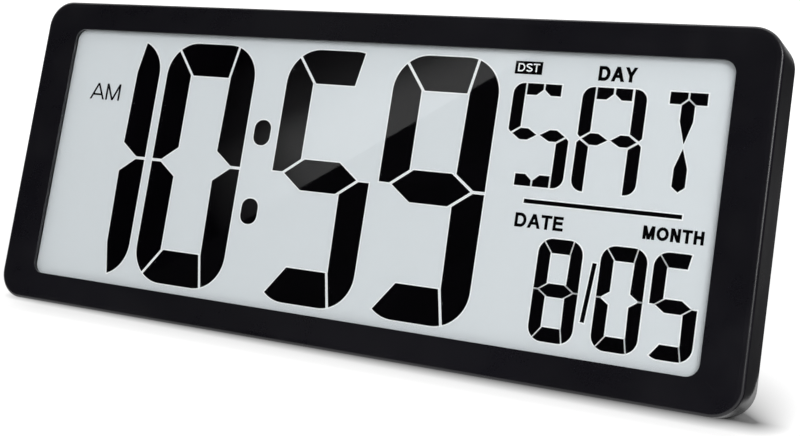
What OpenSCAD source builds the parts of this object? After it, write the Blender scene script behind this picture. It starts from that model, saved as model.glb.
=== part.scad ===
// Large day clock with a segment display, leaning back on its fold-out stand.
// Case coordinates: X to the right, Y from the front ridge to the back, Z up along the face.
// The finished clock is leaned back and stands on z = 0, with its resting edge at the origin.

/* [Case] */
// Width of the case
case_w = 360.6; // [336:0.2:400]
// Height of the case along its face
case_h = 147.6; // [138:0.2:164]
// Depth of the case walls, from the front ridge to the rear edge
case_d = 23; // [23:0.5:28]
// Radius of the case corners, seen from the front
corner_r = 12.4; // [11:0.1:14]
// Radius of the rounded front edge
ridge_r = 1.4; // [0.8:0.1:1.8]
// Radius of the rounded rear edge
rear_edge_r = 0.8; // [0.4:0.1:1]
// Thickness of the case walls
wall = 2.4; // [2:0.1:2.6]
// Angle by which the clock leans back
lean = 19; // [16:1:22]
// Depth of the flat ground on the lower rear edge, on which the case stands
rest_cut = 1; // [0.7:0.1:1.4]

/* [Window] */
// Width of the bezel beside the window
bezel_side = 17.55; // [17:0.05:20]
// Height of the bezel above and below the window
bezel_top = 13.3; // [12.8:0.1:15]
// Corner radius of the window
window_r = 5.5; // [3:0.5:7]
// Thickness of the face plate at its outer edge
face_t = 2.6; // [2.4:0.1:2.8]
// Depth to which the bezel slopes inward at the window
bezel_slope = 1.2; // [0.6:0.1:1.5]
// Thickness of the clear lens
lens_t = 1.2; // [1:0.1:1.4]
// Width of the lens rim behind the bezel
lens_rim = 2.4; // [2:0.1:2.6]
// Clearance round the lens
lens_fit = 0.2; // [0.1:0.05:0.3]
// Thickness of the adhesive gasket behind the lens
gasket_t = 0.3; // [0.2:0.05:0.4]

/* [Display] */
// Width of the window for which the display's figures are given; they follow the real width
drawn_w = 325.5; // [300:0.5:350]
// Height of the window for which the display's figures are given; they follow the real height
drawn_h = 121; // [110:0.5:132]
// Thickness of each display glass
glass_t = 1.1; // [0.9:0.1:1.2]
// Thickness of each polariser film
film_t = 0.2; // [0.15:0.05:0.25]
// Height of the contact ledge along the lower edge of the front glass
ledge_h = 4.5; // [4:0.1:5]
// Thickness of the display holder
holder_t = 2.2; // [2:0.1:2.4]
// Height of the segments above the display face
segment_t = 0.15; // [0.1:0.05:0.2]
// Width of a large digit
digit_w = 49.6; // [46:0.2:50.4]
// Height of a large digit
digit_h = 113.4; // [100:0.2:116]
// Width of the upright segments in a large digit
digit_bar = 13.8; // [12:0.2:14.4]
// Thickness of the top and bottom segments in a large digit
digit_cap = 15.4; // [13:0.2:16]
// Space between two large digits
digit_space = 4.6; // [3:0.2:5.4]
// Pale line between two segments of a large digit
digit_line = 1.3; // [0.8:0.1:1.5]
// Left edge of the hours, from the middle of the window
hour_x = -159.4; // [-159.4:0.2:-158]
// Left edge of the minutes, from the middle of the window
minute_x = -38; // [-39:0.2:-36]
// Width of a colon dot
dot_w = 8.6; // [6:0.2:9]
// Height of a colon dot
dot_h = 11.6; // [9:0.2:13]
// Distance between the colon dots
dot_pitch = 36; // [24:0.5:48]
// Width of a small digit
small_w = 18.6; // [16:0.2:19]
// Height of a small digit
small_h = 40.8; // [36:0.2:42]
// Width of the upright segments in a small digit
small_bar = 5.2; // [4.4:0.1:5.4]
// Thickness of the top and bottom segments in a small digit
small_cap = 5.7; // [5:0.1:6]
// Pale line between two segments of a small digit
small_line = 0.6; // [0.4:0.05:0.7]
// Length of the rule above the date
rule_w = 65; // [50:1:70]
// Thickness of the rule above the date
rule_t = 1.7; // [0.8:0.1:2]

/* [Rear cover] */
// Thickness of the rear cover
cover_t = 2.4; // [2.2:0.1:2.6]
// Gap round the rear cover
cover_gap = 0.15; // [0.1:0.05:0.25]
// Height of the raised field on the rear cover
hump = 5; // [5:0.1:6]
// Distance between the raised field and the sides of the case
hump_side = 55.3; // [50:0.1:57]
// Distance between the raised field and the lower edge of the case
hump_z0 = 12; // [12:0.2:13]
// Distance between the raised field and the top of the case
hump_top = 13.6; // [12.2:0.2:14]
// Distance between the two hanging keyholes
hang_pitch = 160; // [150:1:180]
// Diameter of a keyhole's round entry
hang_d = 9; // [8:0.5:10]
// Width of a keyhole's slot
hang_slot = 4.5; // [4:0.1:5]

/* [Stand] */
// Angle between the opened stand and the back
stand_open = 30; // [27:1:33]
// Distance between the stand's hinge and the top of the raised field
hinge_drop = 38; // [35:0.5:41]
// Width of the stand leg, as a share of the raised field's width
leg_share = 0.28; // [0.24:0.01:0.29]
// Thickness of the stand leg
leg_t = 3.6; // [3.2:0.1:3.8]
// Diameter of the hinge pin
pin_d = 2.4; // [2:0.1:2.6]
// Thickness of the rubber foot
foot_t = 2.2; // [1.5:0.1:3]

/* [Keys] */
// Diameter of a key
key_d = 9; // [8:0.2:10]
// Distance between two keys
key_pitch = 15; // [14:0.5:16]
// Travel of a key
key_travel = 0.7; // [0.4:0.1:0.8]
// Height of a key above the cover
key_proud = 0.8; // [0.8:0.1:1.2]

/* [Battery bay] */
// Diameter of a cell
cell_d = 14.5; // [14:0.1:14.5]
// Length of a cell with its nub
cell_l = 50.5; // [49:0.5:50.5]
// Thickness of the battery door
door_t = 1.8; // [1.6:0.1:1.9]

/* [Hidden] */
$fn = 64;
// Overlap that carries a cutting tool past the faces it cuts through
cut = 1;

// Depths of the layers behind the face
lens_y = face_t;
gasket_y = lens_y + lens_t;
polariser_y = gasket_y + gasket_t;
front_glass_y = polariser_y + film_t;
rear_glass_y = front_glass_y + glass_t;
reflector_y = rear_glass_y + glass_t;
holder_y = reflector_y + film_t;
holder_back = holder_y + holder_t;
board_standoff = 0.6;
board_t = 1.6;
board_y = holder_back + board_standoff;
board_back = board_y + board_t;

// Window, lens and display glass
window_w = case_w - 2 * bezel_side;
window_h = case_h - 2 * bezel_top;
window_z = case_h / 2;
lens_w = window_w + 2 * lens_rim;
lens_h = window_h + 2 * lens_rim;
lens_r = 3;
rib_t = 1;
glass_rim = 1.8;
glass_side = 2.5;
glass_lap = 0.5;
glass_w = window_w + 2 * glass_side;
glass_z0 = window_z - window_h / 2 - ledge_h - glass_lap;
glass_z1 = window_z + window_h / 2 + glass_rim;
display_z0 = glass_z0 + ledge_h;
holder_side = 1;
holder_lap = 0.2;
holder_w = glass_w + 2 * holder_side;
holder_z0 = display_z0 + holder_lap;
holder_border = 11;
gasket_in = 0.2;
gasket_out = 0.5;
film_rim = 1;
reflector_in = 1;

// Bosses for the display holder and posts for the rear cover
boss_d = 7;
boss_in = 8.5;
boss_rise = window_h * 3 / 11;
boss_x = case_w / 2 - boss_in;
boss_z = [window_z - boss_rise, window_z + boss_rise];
top_boss_x = [-window_w / 3, 0, window_w / 3];
top_boss_in = 5.6;
top_boss_z = case_h - top_boss_in;
post_in = 9.5;
post_z = [post_in, case_h - post_in];
mid_post_x = 60;
screw_d = 2.1;
pilot_d = 2.2;
passage_d = 2.6;
head_d = 4.4;
head_t = 1.4;
head_sink = 1.5;
seat_room = 0.2;
holder_screw_l = 4.5;
holder_pilot = 3;
cover_screw_l = 10;
board_screw_l = 3.6;
board_pilot = 2.4;
key_screw_l = 5.6;
key_pilot = 5;
tab_d = 6;
standoff_d = 6;

// Rear cover and its raised field
cover_y = case_d - cover_t;
hump_y = case_d + hump;
hump_in_y = hump_y - cover_t;
hump_w = case_w - 2 * hump_side;
hump_h = case_h - hump_z0 - hump_top;
hump_z = hump_z0 + hump_h / 2;
hump_r = 8;
hump_chamfer = 1.2;
hang_in = 16;
hang_z = hump_z0 + hump_h - hang_in;
hang_rise = 8;
sound_pitch = 5;
sound_w = 1.6;
sound_h = 10;
sound_r = 0.79;

// Stand: the channel it folds into, its hinge and its length down to the floor
leg_w = hump_w * leg_share;
hinge_z = hump_z0 + hump_h - hinge_drop;
leg_fit = 0.6;
channel_w = leg_w + 2 * leg_fit;
channel_sink = 0.2;
channel_y = case_d - channel_sink;
barrel_r = 2.4;
barrel_fit = 0.2;
hinge_y = channel_y + barrel_fit + barrel_r;
heel_h = 5;
heel_t = 1.8;
heel_room = 1.2;
heel_back_share = 0.9;
channel_z1 = hinge_z + heel_h + heel_room;
bore_fit = 0.05;
seat_fit = 0.02;
pin_short = 0.2;
pin_reach = cover_t - pin_short;
leg_inner = 1.6;
leg_border = 5;
leg_skin = 1.6;
leg_rib = 0.8;
leg_panel = 11.2;
leg_panel_x = leg_w / 2 - leg_border - leg_rib - leg_panel;
leg_panel_end = 8;
leg_spare = 10;
foot_grow = 0.3;
rest_lift = case_d * sin(lean) - rest_cut;
rest_front = (case_d - rest_cut / sin(lean)) * cos(lean);
rest_back = case_d * cos(lean) + rest_cut * tan(lean);
rest_y = (rest_front + rest_back) / 2;
hinge_high = hinge_z * cos(lean) - hinge_y * sin(lean) + rest_lift;
leg_l = hinge_high / cos(stand_open - lean);

// Keys, their switches and their board
key_in = 43;
key_x = key_in - hump_w / 2;
key_z = hump_z + 1;
key_count = 5;
key_fit = 0.1;
flange_rim = 1.2;
flange_d = key_d + 2 * flange_rim;
flange_t = 1.2;
dish_r = 24;
dish = 0.4;
key_foot_y = hump_in_y - key_fit - flange_t;
switch_w = 6;
switch_h = 3.5;
plunger_d = 3.4;
plunger_h = 1.2;
press_spare = 0.1;
press_room = key_travel + press_spare;
key_board_back = key_foot_y - press_room - plunger_h - switch_h;
key_board_y = key_board_back - board_t;
key_board_w = 32;
key_board_end = 8;
key_board_h = key_pitch * (key_count - 1) + 2 * key_board_end;
key_post_in = 4;
key_post_x = key_board_w / 2 - key_post_in;
key_post_z = key_board_h / 2 - key_post_in;
key_post_d = 5;
cable_w = 12;
cable_t = 0.4;
cable_end = 5;
cable_bend = 1;

// Battery bay and its sliding door
cell_count = 4;
cell_gap = 0.4;
cell_pitch = cell_d + cell_gap;
nub_d = 5.5;
nub_l = 1;
spring_l = 5;
wire_d = 0.7;
spring_turns = 3;
turn_steps = 14;
coil_wide = 5.2;
coil_narrow = 2.6;
plate_t = 0.5;
plate_w = 12;
bay_wall = 1.4;
door_tail = hump_w * 0.066;
bay_x1 = hump_w / 2 - door_tail;
bay_x0 = bay_x1 - cell_l - spring_l - 2 * plate_t;
bay_z = hump_z + 1.6;
bay_h = cell_count * cell_pitch;
door_sink = 0.2;
cell_room = 0.3;
bay_room = 0.1;
door_lap = 3;
door_end = 4;
door_frame = 3;
door_y = hump_y - door_t - door_sink;
cell_y = door_y - cell_room - cell_d / 2;
bay_y = cell_y - cell_d / 2 - bay_room;
door_h = bay_h + 2 * door_lap;
door_x0 = bay_x0 - door_end;
door_x1 = hump_w / 2;
door_fit = 0.2;
door_seat = 2;
tongue_t = 0.8;
tongue_w = 1.1;
tongue_fit = 0.1;
tongue_in = 0.3;
tongue_y = door_y + tongue_in;
grip_count = 4;
grip_pitch = 2.4;
grip_in = 5;
grip_deep = 0.8;
grip_w = 1.2;
grip_l = 22;
grip_r = 0.59;

// Main board and what it carries
main_in = 18;
main_w = 2 * (boss_x - boss_d / 2 - main_in);
main_h = 26;
main_low = 0.4;
main_z0 = glass_z0 + main_low;
main_z = main_z0 + main_h / 2;
board_screw_in = 20;
board_screw_end = main_w / 2 - board_screw_in;
board_screw_mid = main_w * 0.15;
board_screw_x = [-board_screw_end, -board_screw_mid, board_screw_mid, board_screw_end];
board_screw_rise = 10;
board_screw_z = main_z0 + board_screw_rise;
zebra_in = 10;
zebra_w = main_w - 2 * zebra_in;
zebra_t = 2;
chip_d = 16;
chip_h = 1.6;
crystal_x = 26;
crystal_d = 2;
crystal_l = 6;
buzzer_x = -main_w * 0.22;
buzzer_d = 12;
buzzer_h = 5.5;
buzzer_hole_d = 2;
buzzer_floor = 2;

// Leads from the battery bay down to the main board, as places in depth and height
lead_d = 1.2;
lead_in = 8;
lead_x = bay_x0 + lead_in;
lead_step = 4;
lead_y = 15;
lead_bow = 1.2;
lead_end = 8;
lead_low_y = board_back + lead_d / 2;
lead_top_z = bay_z - bay_h / 2 - bay_wall;
lead_low_z = main_z0 + main_h;
lead_bend = (lead_top_z - lead_low_z) / 3;
lead_route = [[lead_y, lead_top_z], [lead_y, lead_top_z - lead_bend],
    [lead_low_y + lead_bow, lead_low_z], [lead_low_y, lead_low_z - lead_bend],
    [lead_low_y, lead_low_z - lead_end]];

// Shapes and places of the display's characters, from the middle of the drawn window
fit_x = window_w / drawn_w;
fit_z = window_h / drawn_h;
round_share = 1.15;
tip_share = 0.42;
split_share = 1.3;
slope_share = 0.2;
corner_line_share = 1.2;
point_line_share = 0.45;
flank_line_share = 1.6;
dot_round_share = 0.47;
dot_low = 0.8;
digit_pitch = digit_w + digit_space;
digit_places = [hour_x, hour_x + digit_pitch, minute_x, minute_x + digit_pitch];
digit_shown = ["1", "0", "5", "9"];
dot_x = -46.7;
small_places = [92.7, 118.8, 140];
small_shown = ["8", "0", "5"];
small_z = -35.5;
rule_x = 115.9;
rule_z = -1.2;
slash_x = 115.5;
slash_w = 1.7;
slash_h = 23.6;
slash_rise = 1;
slash_tilt = -5;

// Leans the clock back and sets its resting edge on the floor at the origin
module leaned() {
    translate([0, -rest_y, rest_lift])
        rotate([-lean, 0, 0])
        children();
}

// Stands a flat shape up in the plane of the face and gives it depth from y towards the back
module upright(y, depth) {
    translate([0, y + depth, 0])
        rotate([90, 0, 0])
        linear_extrude(depth)
        children();
}

// Extrudes a flat shape drawn in depth and height from x towards the right
module sideways(x, length) {
    translate([x, 0, 0])
        rotate([90, 0, 90])
        linear_extrude(length)
        children();
}

// Box between two depths and two heights
module slab(x0, x1, y0, y1, z0, z1) {
    translate([x0, y0, z0])
        cube([x1 - x0, y1 - y0, z1 - z0]);
}

// Rod along the depth, from y towards the back
module rod(x, y, z, d, length) {
    translate([x, y, z])
        rotate([-90, 0, 0])
        cylinder(d = d, h = length);
}

// Rectangle with rounded corners, centred
module rounded(w, h, r) {
    square([w - 2 * r, h], center = true);
    square([w, h - 2 * r], center = true);
    for (x = [-1, 1], y = [-1, 1])
        translate([x * (w / 2 - r), y * (h / 2 - r)])
        circle(r);
}

// Round-headed screw pointing to the front, its head standing on depth y
module screw(x, y, z, length) {
    rod(x, y, z, head_d, head_t);
    rod(x, y - length, z, screw_d, length);
}

// Depth profile of the case's outer edge: rounded at the ridge and at the rear
module edge_profile() {
    square([corner_r - ridge_r, case_d]);
    translate([0, ridge_r])
        square([corner_r, case_d - ridge_r - rear_edge_r]);
    translate([0, ridge_r])
        square([corner_r - rear_edge_r, case_d - ridge_r]);
    translate([corner_r - ridge_r, ridge_r])
        circle(ridge_r);
    translate([corner_r - rear_edge_r, case_d - rear_edge_r])
        circle(rear_edge_r);
}

// One upper right corner of the case, the edge profile swept a quarter turn
module corner_sweep() {
    rotate([90, 0, 0])
        mirror([0, 0, 1])
        rotate_extrude(angle = 90)
        edge_profile();
}

// Solid block of the case, its rounded ridge running unbroken round four sides
module case_block() {
    run_w = case_w - 2 * corner_r;
    run_h = case_h - 2 * corner_r;
    translate([0, 0, case_h / 2]) {
        for (x = [0, 1], z = [0, 1])
            mirror([x, 0, 0])
            mirror([0, 0, z])
            translate([run_w / 2, 0, run_h / 2])
            corner_sweep();
        for (x = [0, 1])
            mirror([x, 0, 0])
            translate([run_w / 2, 0, -run_h / 2])
            linear_extrude(run_h)
            edge_profile();
        for (z = [0, 1])
            mirror([0, 0, z])
            translate([0, 0, run_h / 2])
            sideways(-run_w / 2, run_w)
            mirror([1, -1])
            edge_profile();
        slab(-run_w / 2, run_w / 2, 0, case_d, -run_h / 2, run_h / 2);
    }
}

// Shallow funnel that slopes the bezel inward to the window, with softly turned corners
module bezel_funnel() {
    edge = 2 * ridge_r;
    past = cut / 2;
    translate([0, 0, window_z])
        hull() {
            upright(-cut, cut)
                rounded(case_w - 2 * edge, case_h - 2 * edge, corner_r - edge);
            upright(0, bezel_slope + past * bezel_slope / bezel_top)
                rounded(window_w - 2 * past, window_h - 2 * past, window_r - past);
        }
}

// Places that repeat on the left and the right side
module both_sides() {
    children();
    mirror([1, 0, 0]) children();
}

// Bosses for the display holder, posts for the rear cover, or the pilot holes in them
module case_bosses(d, holder_from, cover_from) {
    both_sides() {
        for (z = boss_z) rod(boss_x, holder_from, z, d, holder_y - holder_from);
        for (z = post_z) rod(boss_x, cover_from, z, d, cover_y - cover_from);
        rod(mid_post_x, cover_from, top_boss_z, d, cover_y - cover_from);
    }
    for (x = top_boss_x) rod(x, holder_from, top_boss_z, d, holder_y - holder_from);
}

// Low rib that locates the lens behind the window
module lens_rib() {
    translate([0, 0, window_z])
        upright(face_t, lens_t)
        difference() {
            rounded(lens_w + 2 * (lens_fit + rib_t), lens_h + 2 * (lens_fit + rib_t), lens_r + rib_t);
            rounded(lens_w + 2 * lens_fit, lens_h + 2 * lens_fit, lens_r);
        }
}

module front_case() {
    color([0.09, 0.09, 0.1])
        difference() {
            leaned() difference() {
                union() {
                    difference() {
                        case_block();
                        translate([0, 0, window_z])
                            upright(face_t, case_d)
                            rounded(case_w - 2 * wall, case_h - 2 * wall, corner_r - wall);
                    }
                    case_bosses(boss_d, face_t, face_t);
                    lens_rib();
                }
                translate([0, 0, window_z])
                    upright(-cut, face_t + 2 * cut)
                    rounded(window_w, window_h, window_r);
                bezel_funnel();
                case_bosses(pilot_d, holder_y - holder_pilot, cover_y - cover_screw_l);
            }
            translate([-case_w, -case_w, -2 * case_w])
                cube(2 * case_w);
        }
}

module front_lens() {
    color([0.9, 0.95, 1, 0.25])
        leaned()
        translate([0, 0, window_z])
        upright(lens_y, lens_t)
        rounded(lens_w, lens_h, lens_r);
}

module lens_gasket() {
    color([0.15, 0.15, 0.15])
        leaned()
        translate([0, 0, window_z])
        upright(gasket_y, gasket_t)
        difference() {
            rounded(lens_w - 2 * gasket_in, lens_h - 2 * gasket_in, lens_r);
            rounded(window_w + 2 * gasket_out, window_h + 2 * gasket_out, window_r);
        }
}

module front_polariser() {
    color([0.78, 0.81, 0.82])
        leaned()
        translate([0, 0, window_z])
        upright(polariser_y, film_t)
        square([window_w + 2 * film_rim, window_h + 2 * film_rim], center = true);
}

// Outline of one segment of a numeral, cut later by the numeral's rounded body.
// w, h: the numeral; bar, cap: its upright and level segments; line: the pale line between two.
// tip: where the middle segment's points lie; split, slope: how the corner cuts lean
// lean_line, point, flank: keep the pale line as wide where it runs at a slant
function segment(id, w, h, bar, cap, line) =
    let (t = h / 2,
        out = t + cut,
        low = t - cap,
        half = bar / 2,
        g = line / 2,
        tip = bar * tip_share,
        split = bar - (cap + cut) / split_share,
        slope = (cap + cut) * slope_share,
        lean_line = line * corner_line_share,
        point = tip + line * point_line_share,
        flank = bar + line * flank_line_share)
    id == "a" ? [[split + lean_line, out], [bar + lean_line, low], [w - bar - g, low],
        [w - bar - g + slope, out]] :
    id == "b" ? [[w + cut, g], [w - tip + g, g], [w - bar, half], [w - bar + g, low],
        [w - bar + g + slope, out], [w + cut, out]] :
    id == "f" ? [[-cut, g], [tip - g, g], [bar, half], [bar, low], [split, out], [-cut, out]] :
    id == "g" ? [[point, 0], [flank, half], [w - flank, half], [w - point, 0],
        [w - flank, -half], [flank, -half]] :
    [for (p = segment(id == "c" ? "b" : id == "d" ? "a" : "f", w, h, bar, cap, line))
        [p[0], -p[1]]];

// Segments that each numeral lights
function lit(numeral) =
    numeral == "0" ? ["a", "b", "c", "d", "e", "f"] :
    numeral == "1" ? ["b", "c"] :
    numeral == "5" ? ["a", "c", "d", "f", "g"] :
    numeral == "9" ? ["a", "b", "c", "d", "f", "g"] :
    ["a", "b", "c", "d", "e", "f", "g"];

// One numeral with its left edge at x = 0 and its middle at half height
module numeral(shown, w, h, bar, cap, line) {
    for (id = lit(shown))
        intersection() {
            translate([w / 2, 0]) rounded(w, h, bar * round_share);
            polygon(segment(id, w, h, bar, cap, line));
        }
}

// Seats a flat drawing on the display, measured from the middle of the window
module on_display() {
    color([0.02, 0.02, 0.03])
        leaned()
        translate([0, 0, window_z])
        upright(polariser_y - segment_t, segment_t)
        children();
}

module time_segments() {
    on_display()
        for (i = [0:len(digit_shown) - 1])
            translate([digit_places[i] * fit_x, 0])
            numeral(digit_shown[i], digit_w * fit_x, digit_h * fit_z, digit_bar * fit_x,
                digit_cap * fit_z, digit_line * fit_x);
}

module colon_dots() {
    on_display()
        for (s = [-1, 1])
            translate([dot_x * fit_x, (s * dot_pitch / 2 - dot_low) * fit_z])
            rounded(dot_w * fit_x, dot_h * fit_z, dot_w * fit_x * dot_round_share);
}

module date_segments() {
    on_display() {
        for (i = [0:len(small_shown) - 1])
            translate([small_places[i] * fit_x, small_z * fit_z])
            numeral(small_shown[i], small_w * fit_x, small_h * fit_z, small_bar * fit_x,
                small_cap * fit_z, small_line * fit_x);
        translate([rule_x * fit_x, rule_z * fit_z])
            square([rule_w * fit_x, rule_t * fit_z], center = true);
        translate([slash_x * fit_x, (small_z + slash_rise) * fit_z])
            rotate(slash_tilt)
            square([slash_w * fit_x, slash_h * fit_z], center = true);
    }
}

module lcd_front_glass() {
    color([0.7, 0.8, 0.8])
        leaned()
        slab(-glass_w / 2, glass_w / 2, front_glass_y, rear_glass_y, glass_z0, glass_z1);
}

module lcd_rear_glass() {
    color([0.65, 0.75, 0.76])
        leaned()
        slab(-glass_w / 2, glass_w / 2, rear_glass_y, reflector_y, display_z0, glass_z1);
}

module lcd_reflector() {
    color([0.75, 0.75, 0.78])
        leaned()
        slab(-glass_w / 2 + reflector_in, glass_w / 2 - reflector_in, reflector_y, holder_y,
            display_z0 + reflector_in, glass_z1 - reflector_in);
}

module zebra_strip() {
    color([0.35, 0.2, 0.25])
        leaned()
        slab(-zebra_w / 2, zebra_w / 2, rear_glass_y, board_y,
            glass_z0 + ledge_h / 2 - zebra_t / 2, glass_z0 + ledge_h / 2 + zebra_t / 2);
}

// Tab of the display holder at one of the case's bosses, reaching towards the frame
module holder_tab(x, z, reach_x, reach_z) {
    rod(x, holder_y, z, tab_d, holder_t);
    slab(min(x, x + reach_x) - (reach_x == 0 ? tab_d / 2 : 0),
        max(x, x + reach_x) + (reach_x == 0 ? tab_d / 2 : 0),
        holder_y, holder_back,
        min(z, z + reach_z) - (reach_z == 0 ? tab_d / 2 : 0),
        max(z, z + reach_z) + (reach_z == 0 ? tab_d / 2 : 0));
}

module lcd_holder() {
    reach = boss_x - holder_w / 2 + holder_border / 2;
    drop = top_boss_z - glass_z1 + holder_border / 2;
    color([0.85, 0.85, 0.83])
        leaned() difference() {
            union() {
                slab(-holder_w / 2, holder_w / 2, holder_y, holder_back, holder_z0, glass_z1);
                both_sides() for (z = boss_z) holder_tab(boss_x, z, -reach, 0);
                for (x = top_boss_x) holder_tab(x, top_boss_z, 0, -drop);
                for (x = board_screw_x)
                    rod(x, holder_back, board_screw_z, standoff_d, board_standoff);
            }
            for (x = [-1, 1])
                slab(x < 0 ? -holder_w / 2 + holder_border : holder_border / 2,
                    x < 0 ? -holder_border / 2 : holder_w / 2 - holder_border,
                    holder_y - cut, holder_back + cut,
                    holder_z0 + holder_border, glass_z1 - holder_border);
            both_sides() for (z = boss_z) rod(boss_x, holder_y - cut, z, passage_d, holder_t + 2 * cut);
            for (x = top_boss_x) rod(x, holder_y - cut, top_boss_z, passage_d, holder_t + 2 * cut);
            for (x = board_screw_x)
                rod(x, board_y - board_pilot, board_screw_z, pilot_d, board_pilot + cut);
        }
}

module holder_screws() {
    color([0.6, 0.6, 0.62])
        leaned() {
            both_sides() for (z = boss_z) screw(boss_x, holder_back, z, holder_screw_l);
            for (x = top_boss_x) screw(x, holder_back, top_boss_z, holder_screw_l);
        }
}

module main_board() {
    color([0.1, 0.35, 0.18])
        leaned() difference() {
            slab(-main_w / 2, main_w / 2, board_y, board_back, main_z0, main_z0 + main_h);
            for (x = board_screw_x) rod(x, board_y - cut, board_screw_z, passage_d, board_t + 2 * cut);
        }
}

module board_screws() {
    color([0.6, 0.6, 0.62])
        leaned()
        for (x = board_screw_x) screw(x, board_back, board_screw_z, board_screw_l);
}

// Low dome of resin over the bare driver die
module driver_chip() {
    color([0.05, 0.05, 0.05])
        leaned()
        translate([0, board_back, main_z])
        rotate([-90, 0, 0])
        rotate_extrude()
        intersection() {
            square([chip_d / 2, chip_h]);
            translate([0, chip_h - chip_d])
                circle(chip_d, $fn = 360);
        }
}

module quartz_crystal() {
    color([0.75, 0.75, 0.77])
        leaned()
        translate([crystal_x, board_back + crystal_d / 2, main_z])
        rotate([0, 90, 0])
        cylinder(d = crystal_d, h = crystal_l);
}

module buzzer() {
    color([0.06, 0.06, 0.06])
        leaned() difference() {
            rod(buzzer_x, board_back, main_z, buzzer_d, buzzer_h);
            rod(buzzer_x, board_back + buzzer_floor, main_z, buzzer_hole_d, buzzer_h);
        }
}

// Places of the four posts that carry the key board
module at_key_posts() {
    for (x = [-1, 1], z = [-1, 1])
        translate([key_x + x * key_post_x, 0, key_z + z * key_post_z])
        children();
}

// Height of a key above the middle of the row
function key_place(i) = key_z + ((key_count - 1) / 2 - i) * key_pitch;

module key_board() {
    color([0.1, 0.35, 0.18])
        leaned() difference() {
            slab(key_x - key_board_w / 2, key_x + key_board_w / 2, key_board_y, key_board_back,
                key_z - key_board_h / 2, key_z + key_board_h / 2);
            at_key_posts() rod(0, key_board_y - cut, 0, passage_d, board_t + 2 * cut);
        }
}

module key_board_screws() {
    color([0.6, 0.6, 0.62])
        leaned()
        at_key_posts() {
            rod(0, key_board_y - head_t, 0, head_d, head_t);
            rod(0, key_board_y, 0, screw_d, key_screw_l);
        }
}

module tact_switches() {
    color([0.2, 0.2, 0.22])
        leaned()
        for (i = [0:key_count - 1]) {
            slab(key_x - switch_w / 2, key_x + switch_w / 2, key_board_back, key_board_back + switch_h,
                key_place(i) - switch_w / 2, key_place(i) + switch_w / 2);
            rod(key_x, key_board_back + switch_h, key_place(i), plunger_d, plunger_h);
        }
}

// Flat cable from the front of the key board down to the back of the main board
module key_cable() {
    top = key_z - key_board_h / 2;
    low = main_z0 + main_h;
    x0 = key_x - cable_w / 2;
    x1 = key_x + cable_w / 2;
    color([0.8, 0.8, 0.78])
        leaned() {
            slab(x0, x1, key_board_y - cable_t, key_board_y, top + cable_bend, top + cable_end);
            slab(x0, x1, board_back, board_back + cable_t, low - cable_end, low - cable_bend);
            sideways(x0, cable_w)
                polygon([[key_board_y - cable_t, top + cable_bend], [key_board_y, top + cable_bend],
                    [board_back + cable_t, low - cable_bend], [board_back, low - cable_bend]]);
        }
}

// A key: its flange seats behind the cover, its cap stands a little proud and is slightly dished
module key(i) {
    cap_top = hump_y + key_proud;
    color([0.16, 0.16, 0.17])
        leaned()
        difference() {
            union() {
                rod(key_x, key_foot_y, key_place(i), flange_d, flange_t);
                rod(key_x, key_foot_y, key_place(i), key_d, cap_top - key_foot_y);
            }
            translate([key_x, cap_top + dish_r - dish, key_place(i)])
                sphere(dish_r);
        }
}

module set_key() {
    key(0);
}

module up_key() {
    key(1);
}

module down_key() {
    key(2);
}

module alarm_key() {
    key(3);
}

module mode_key() {
    key(4);
}

// Raised field of the cover with its chamfered rim, from depth y up to its top
module raised_field(y) {
    c = hump_chamfer;
    x1 = hump_w / 2;
    z0 = hump_z - hump_h / 2;
    z1 = hump_z + hump_h / 2;
    intersection() {
        translate([0, 0, hump_z])
            upright(y, hump_y - y)
            rounded(hump_w, hump_h, hump_r);
        linear_extrude(2 * case_h)
            polygon([[-x1, 0], [x1, 0], [x1, hump_y - c], [x1 - c, hump_y],
                [-x1 + c, hump_y], [-x1, hump_y - c]]);
        sideways(-x1, hump_w)
            polygon([[0, z0], [0, z1], [hump_y - c, z1], [hump_y, z1 - c],
                [hump_y, z0 + c], [hump_y - c, z0]]);
    }
}

// Keyhole: a round entry with a narrower slot rising from it
module keyhole() {
    rod(0, cover_y, 0, hang_d, hump + cover_t + cut);
    slab(-hang_slot / 2, hang_slot / 2, cover_y, hump_y + cut, 0, hang_rise);
    rod(0, cover_y, hang_rise, hang_slot, hump + cover_t + cut);
}

// Solid parts of the rear cover before its openings are cut
module cover_body() {
    wide = channel_w / 2 + cover_t;
    translate([0, 0, window_z])
        upright(cover_y, cover_t)
        rounded(case_w - 2 * (wall + cover_gap), case_h - 2 * (wall + cover_gap),
            corner_r - wall - cover_gap);
    difference() {
        raised_field(cover_y + cut);
        translate([0, 0, hump_z])
            upright(cover_y, hump_in_y - cover_y)
            rounded(hump_w - 2 * cover_t, hump_h - 2 * cover_t, hump_r - cover_t);
    }
    slab(-wide, wide, cover_y, hump_in_y + cut, hump_z0 + cut, channel_z1 + cover_t);
    slab(bay_x0 - bay_wall, bay_x1 + bay_wall, bay_y - bay_wall, hump_in_y + cut,
        bay_z - bay_h / 2 - bay_wall, bay_z + bay_h / 2 + bay_wall);
    slab(door_x0 - door_frame, door_x1 - cut, door_y - door_seat, hump_in_y + cut,
        bay_z - door_h / 2 - door_frame, bay_z + door_h / 2 + door_frame);
    at_key_posts() rod(0, key_board_back, 0, key_post_d, hump_in_y - key_board_back + cut);
}

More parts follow.
